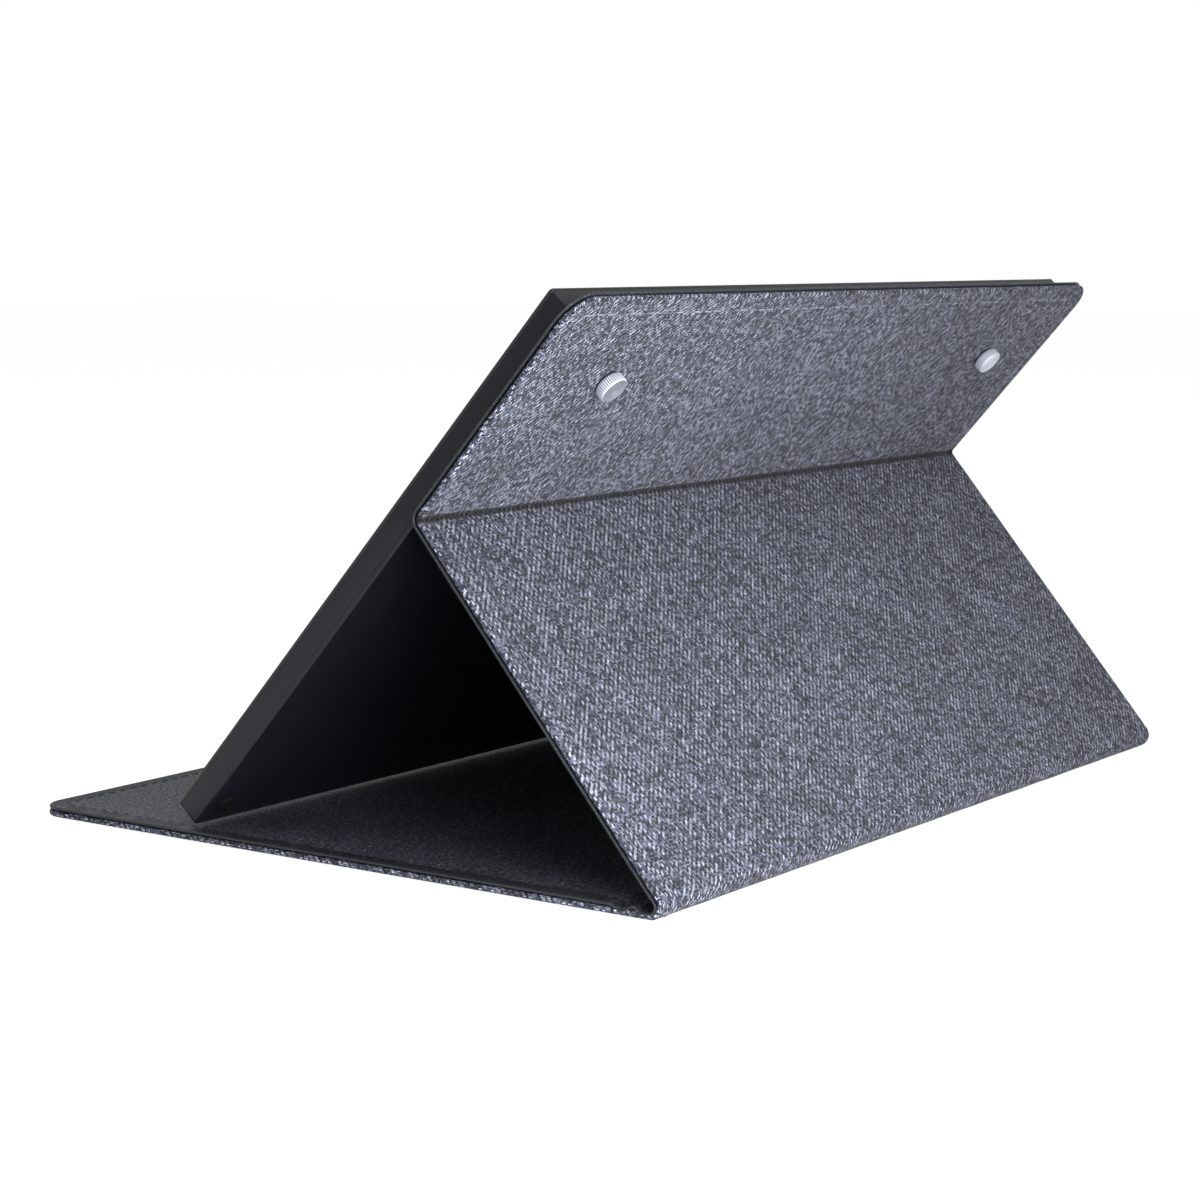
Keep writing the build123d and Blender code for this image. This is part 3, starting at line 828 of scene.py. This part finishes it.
# ---------------------------------------------------------------- tray
def softened_copy(node, name, width, segments=3):
    """The CAD solid with its sharp edges rounded over; slanting faces take slot 1."""
    facet_limit, sharp_limit, square_limit = (math.radians(a) for a in (1.5, 30, 12))
    bm = bmesh.new()
    bm.from_mesh(frame["nodes"][node].data)
    bmesh.ops.remove_doubles(bm, verts=bm.verts, dist=sliver_length)
    bmesh.ops.dissolve_limit(bm, angle_limit=facet_limit, verts=bm.verts, edges=bm.edges)
    sharp = [e for e in bm.edges if len(e.link_faces) == 2
             and e.calc_face_angle(0) > sharp_limit]
    bmesh.ops.bevel(bm, geom=sharp, offset=width, segments=segments, profile=0.5,
                    affect="EDGES", clamp_overlap=True)
    bm.normal_update()
    for face in bm.faces:
        squareness = max(abs(face.normal.dot(axis)) for axis in
                         (Vector((1, 0, 0)), up_tray, into_tray))
        face.material_index = int(squareness < math.cos(square_limit))
    return finish_mesh(name, bm, 50)


def tray_piece(node, name, width, material, highlight_material=None):
    """Softened copy that rides on the tray; its rounded edges may take a lighter material, a
    painted highlight.
    """
    made = dress(softened_copy(node, name, width), material)
    made.data.materials.append(highlight_material or material)
    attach(made, "tray")
    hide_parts(node)
    return made


# The back plate and frame ring carry the painted edge highlight on their rounded edges.
tray_piece("tray_back", "tray_back_plate", 0.25 * MM, tray_plastic,
           tray_painted_highlight)
tray_piece("tray_frame", "tray_frame_ring", 0.12 * MM, tray_plastic,
           tray_painted_highlight)
tray_piece("front_bezel", "front_bezel_ring", 0.35 * MM, bezel_plastic)
tray_piece("corner_pads", "corner_pad_set", 0.25 * MM, rubber)


def felt_pad():
    """Felt laid on the tray's back, with rounded corners and a slightly uneven surface."""
    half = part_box("felt_liner")[1].x
    thickness = 0.5 * MM
    corners = [v.co for v in frame["nodes"]["felt_liner"].data.vertices]
    along = [v.dot(up_tray) for v in corners]
    inward = [v.dot(into_tray) for v in corners]
    start, length, floor = min(along), max(along) - min(along), min(inward)

    def place(x, s, depth):
        point = up_tray * (start + s) + into_tray * (floor + thickness - depth)
        return Vector((x, point.y, point.z))

    def relief(x, s, face):
        return MM * (0.05 * wobble(x, s, 210, 0.9) if face > 0 else 0.0)

    rim = [(0.35 * MM, 0.0), (0.12 * MM, 0.08 * MM), (0.0, 0.25 * MM), (0.1 * MM, thickness)]
    pad = Pad(0.0, length, rim, half, round_start=4 * MM, round_end=4 * MM)
    made = dress(pad.build("felt_liner_pad", place, relief), felt)
    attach(made, "tray")
    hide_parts("felt_liner")


felt_pad()


# ---------------------------------------------------------------- thumbscrews
def thumbscrew(side):
    """Knurled head with a dished face, and a threaded shank."""
    node = f"thumbscrew_{side}"
    seat = Vector(joints[f"{side}_screw_turn"]["pos_m"])
    coordinates = [v.co - seat for v in frame["nodes"][node].data.vertices]
    reach = max(c.dot(screw_axis) for c in coordinates)
    tip = min(c.dot(screw_axis) for c in coordinates)
    x_axis = Vector((1, 0, 0))
    y_axis = screw_axis.cross(x_axis)
    head_radius, shank_radius, thread_pitch, thread_depth = 4.4, 1.5, 0.5, 0.24
    teeth, per_tooth, knurl_depth, land = 40, 8, 0.30, 0.2
    shank_sides, lead_in, taper_depth, runout = 48, 0.5, 0.35, 0.6
    around = teeth * per_tooth
    height = reach / MM
    profile = [(0.0, 0.0, 0), (shank_radius, 0.0, 0), (head_radius - 0.75, 0.0, 0),
               (head_radius - 0.45, 0.05, 0), (head_radius - 0.22, 0.28, 0.3),
               (head_radius, 0.45, 1), (head_radius, height - 0.45, 1),
               (head_radius - 0.10, height - 0.32, 0.5), (head_radius - 0.24, height - 0.14, 0),
               (head_radius - 0.34, height - 0.03, 0), (head_radius - 0.46, height, 0),
               (head_radius - 0.85, height, 0), (head_radius - 1.1, height - 0.05, 0),
               (2.0, height - 0.09, 0), (0.5, height - 0.10, 0), (0.32, height - 0.15, 0),
               (0.0, height - 0.18, 0)]
    bm = bmesh.new()
    layer = bm.verts.layers.float_vector.new("flat")

    def point(radius, angle, z, full):
        """Vertex on the turned body; full is the radius before any groove is cut."""
        outward = x_axis * math.cos(angle) + y_axis * math.sin(angle)
        made = bm.verts.new(seat + (outward * radius + screw_axis * z) * MM)
        groove_depth = knurl_depth * (1 - land)
        made[layer] = Vector((radius * MM, angle, min(1.0, (full - radius) / groove_depth)))
        return made

    def lathe(sections):
        """Skin over rings of radii, each at its height; a lone radius closes an end."""
        rings = []
        for radii, z in sections:
            full = max(radii)
            rings.append([point(r, 2 * math.pi * k / len(radii), z, full)
                          for k, r in enumerate(radii)])
        for low, high in zip(rings, rings[1:]):
            count = max(len(low), len(high))
            for k in range(count):
                following = (k + 1) % count
                if len(low) == 1:
                    bm.faces.new((low[0], high[following], high[k]))
                elif len(high) == 1:
                    bm.faces.new((low[k], low[following], high[0]))
                else:
                    bm.faces.new((low[k], low[following], high[following], high[k]))

    def knurled(radius, share):
        radii = []
        for k in range(around):
            phase = (k % per_tooth) / per_tooth
            groove = 1 - abs(2 * phase - 1)
            radii.append(radius - knurl_depth * share * max(0.0, groove - land))
        return radii

    lathe([([0.0], z) if radius == 0 else (knurled(radius, share), z)
           for radius, z, share in profile])
    turns_high = -tip / MM
    levels = steps(-turns_high, 0.0, thread_pitch / 8)
    sections = [([0.0], -turns_high)]
    for z in levels:
        radii = []
        for k in range(shank_sides):
            phase = ((z / thread_pitch) - k / shank_sides) % 1.0
            cut = 1 - abs(2 * phase - 1)
            taper = taper_depth * max(0.0, 1 - (z + turns_high) / lead_in)
            full_cut = min(1.0, max(0.0, -z / runout))
            radii.append(shank_radius - thread_depth * cut * full_cut - taper)
        sections.append((radii, z))
    sections.append(([0.0], 0.0))
    lathe(sections)
    bmesh.ops.recalc_face_normals(bm, faces=bm.faces)
    made = dress(finish_mesh(f"thumbscrew_{side}_turned", bm, 40), aluminium)
    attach(made, node)
    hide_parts(node)


for side in ("left", "right"):
    thumbscrew(side)

# ---------------------------------------------------------------- carried-over CAD nodes
carried = {
    "base_board": board, "strut_board": board, "flap_board": board,
    "seat_magnets": nickel, "closure_magnets": nickel, "tray_magnets": nickel,
    "closure_keepers": steel, "threaded_inserts": brass, "rubber_feet": rubber,
    "washer_left": nylon, "washer_right": nylon,
}
for node, material in carried.items():
    dress(frame["nodes"][node], material)

# ---------------------------------------------------------------- floor, light and camera
floor_reach, floor_drop, floor_glow = 6.0, 0.2 * MM, 0.84
world_light, world_mirrored = 0.16, 0.45     # as a light, and what a reflection adds to it
key_lamp = {"place": (0.25, 0.38, 0.12), "target": (0.08, 0.08, 0.06), "size": (0.28, 0.22),
            "power": 1.75}
top_lamp = {"place": (0.1, 0.3, 1.2), "target": (0, 0, 0), "size": (1.0, 1.0), "power": 4.6}
camera_place = (0.69888, 0.48546, 0.16915)
camera_yaw, camera_pitch = math.radians(215.409), math.radians(-7.432)
camera_lens, camera_film, camera_near = 80.18, 36.0, 0.01


def make_floor():
    """Pale floor that shows as white to the camera and keeps the object's shadow."""
    bm = bmesh.new()
    corners = [bm.verts.new((x * floor_reach, y * floor_reach, -floor_drop)) for x, y in
               ((-1, -1), (1, -1), (1, 1), (-1, 1))]
    bm.faces.new(corners)
    floor = finish_mesh("floor", bm)
    n = Nodes("floor_white")
    grain = n.noise(n.place(), 60.0, 2.0)
    n.set(Base_Color=n.mix(grain, rgba(0.78, 0.78, 0.78), rgba(0.82, 0.82, 0.82)),
          Roughness=0.9, Specular_IOR_Level=0.1)
    rays = n.add("ShaderNodeLightPath")
    seen = n.math("MAXIMUM", rays.outputs["Is Camera Ray"],
                  n.math("MAXIMUM", rays.outputs["Is Glossy Ray"],
                         rays.outputs["Is Transmission Ray"]))
    n.set(Emission_Color=rgba(1, 1, 1), Emission_Strength=n.math("MULTIPLY", seen, floor_glow))
    dress(floor, n.material)


def make_world():
    """Even white surroundings: white to the eye, softer as a light."""
    world = bpy.data.worlds.new("studio")
    bpy.context.scene.world = world
    world.use_nodes = True
    tree = world.node_tree
    background = tree.nodes["Background"]
    background.inputs["Color"].default_value = rgba(1, 1, 1)
    rays = tree.nodes.new("ShaderNodeLightPath")
    seen = tree.nodes.new("ShaderNodeMath")
    seen.operation = "MAXIMUM"
    tree.links.new(rays.outputs["Is Camera Ray"], seen.inputs[0])
    tree.links.new(rays.outputs["Is Transmission Ray"], seen.inputs[1])
    lit = tree.nodes.new("ShaderNodeMath")
    lit.operation = "MULTIPLY_ADD"
    tree.links.new(rays.outputs["Is Glossy Ray"], lit.inputs[0])
    lit.inputs[1].default_value = world_mirrored
    lit.inputs[2].default_value = world_light
    level = tree.nodes.new("ShaderNodeMath")
    level.operation = "MAXIMUM"
    tree.links.new(seen.outputs[0], level.inputs[0])
    tree.links.new(lit.outputs[0], level.inputs[1])
    tree.links.new(level.outputs[0], background.inputs["Strength"])


def make_lamp(name, place, target, size, power):
    """Soft white area lamp, aimed at its target."""
    data = bpy.data.lights.new(name, "AREA")
    data.shape = "RECTANGLE"
    data.size, data.size_y = size
    data.energy = power
    lamp = bpy.data.objects.new(name, data)
    lamp.location = place
    lamp.rotation_euler = (Vector(target) - Vector(place)).to_track_quat("-Z", "Y").to_euler()
    bpy.context.scene.collection.objects.link(lamp)


def make_camera():
    """Standing behind the case, to its right as the user sees it, a little above."""
    data = bpy.data.cameras.new("camera")
    data.sensor_width = camera_film
    data.lens = camera_lens
    camera = bpy.data.objects.new("camera", data)
    camera.location = camera_place
    look = Vector((math.cos(camera_pitch) * math.cos(camera_yaw),
                   math.cos(camera_pitch) * math.sin(camera_yaw), math.sin(camera_pitch)))
    camera.rotation_euler = look.to_track_quat("-Z", "Y").to_euler()
    data.clip_start = camera_near
    bpy.context.scene.collection.objects.link(camera)
    bpy.context.scene.camera = camera


make_floor()
make_world()
make_lamp("key", **key_lamp)
make_lamp("top", **top_lamp)
make_camera()
bpy.context.scene.view_settings.view_transform = "Standard"
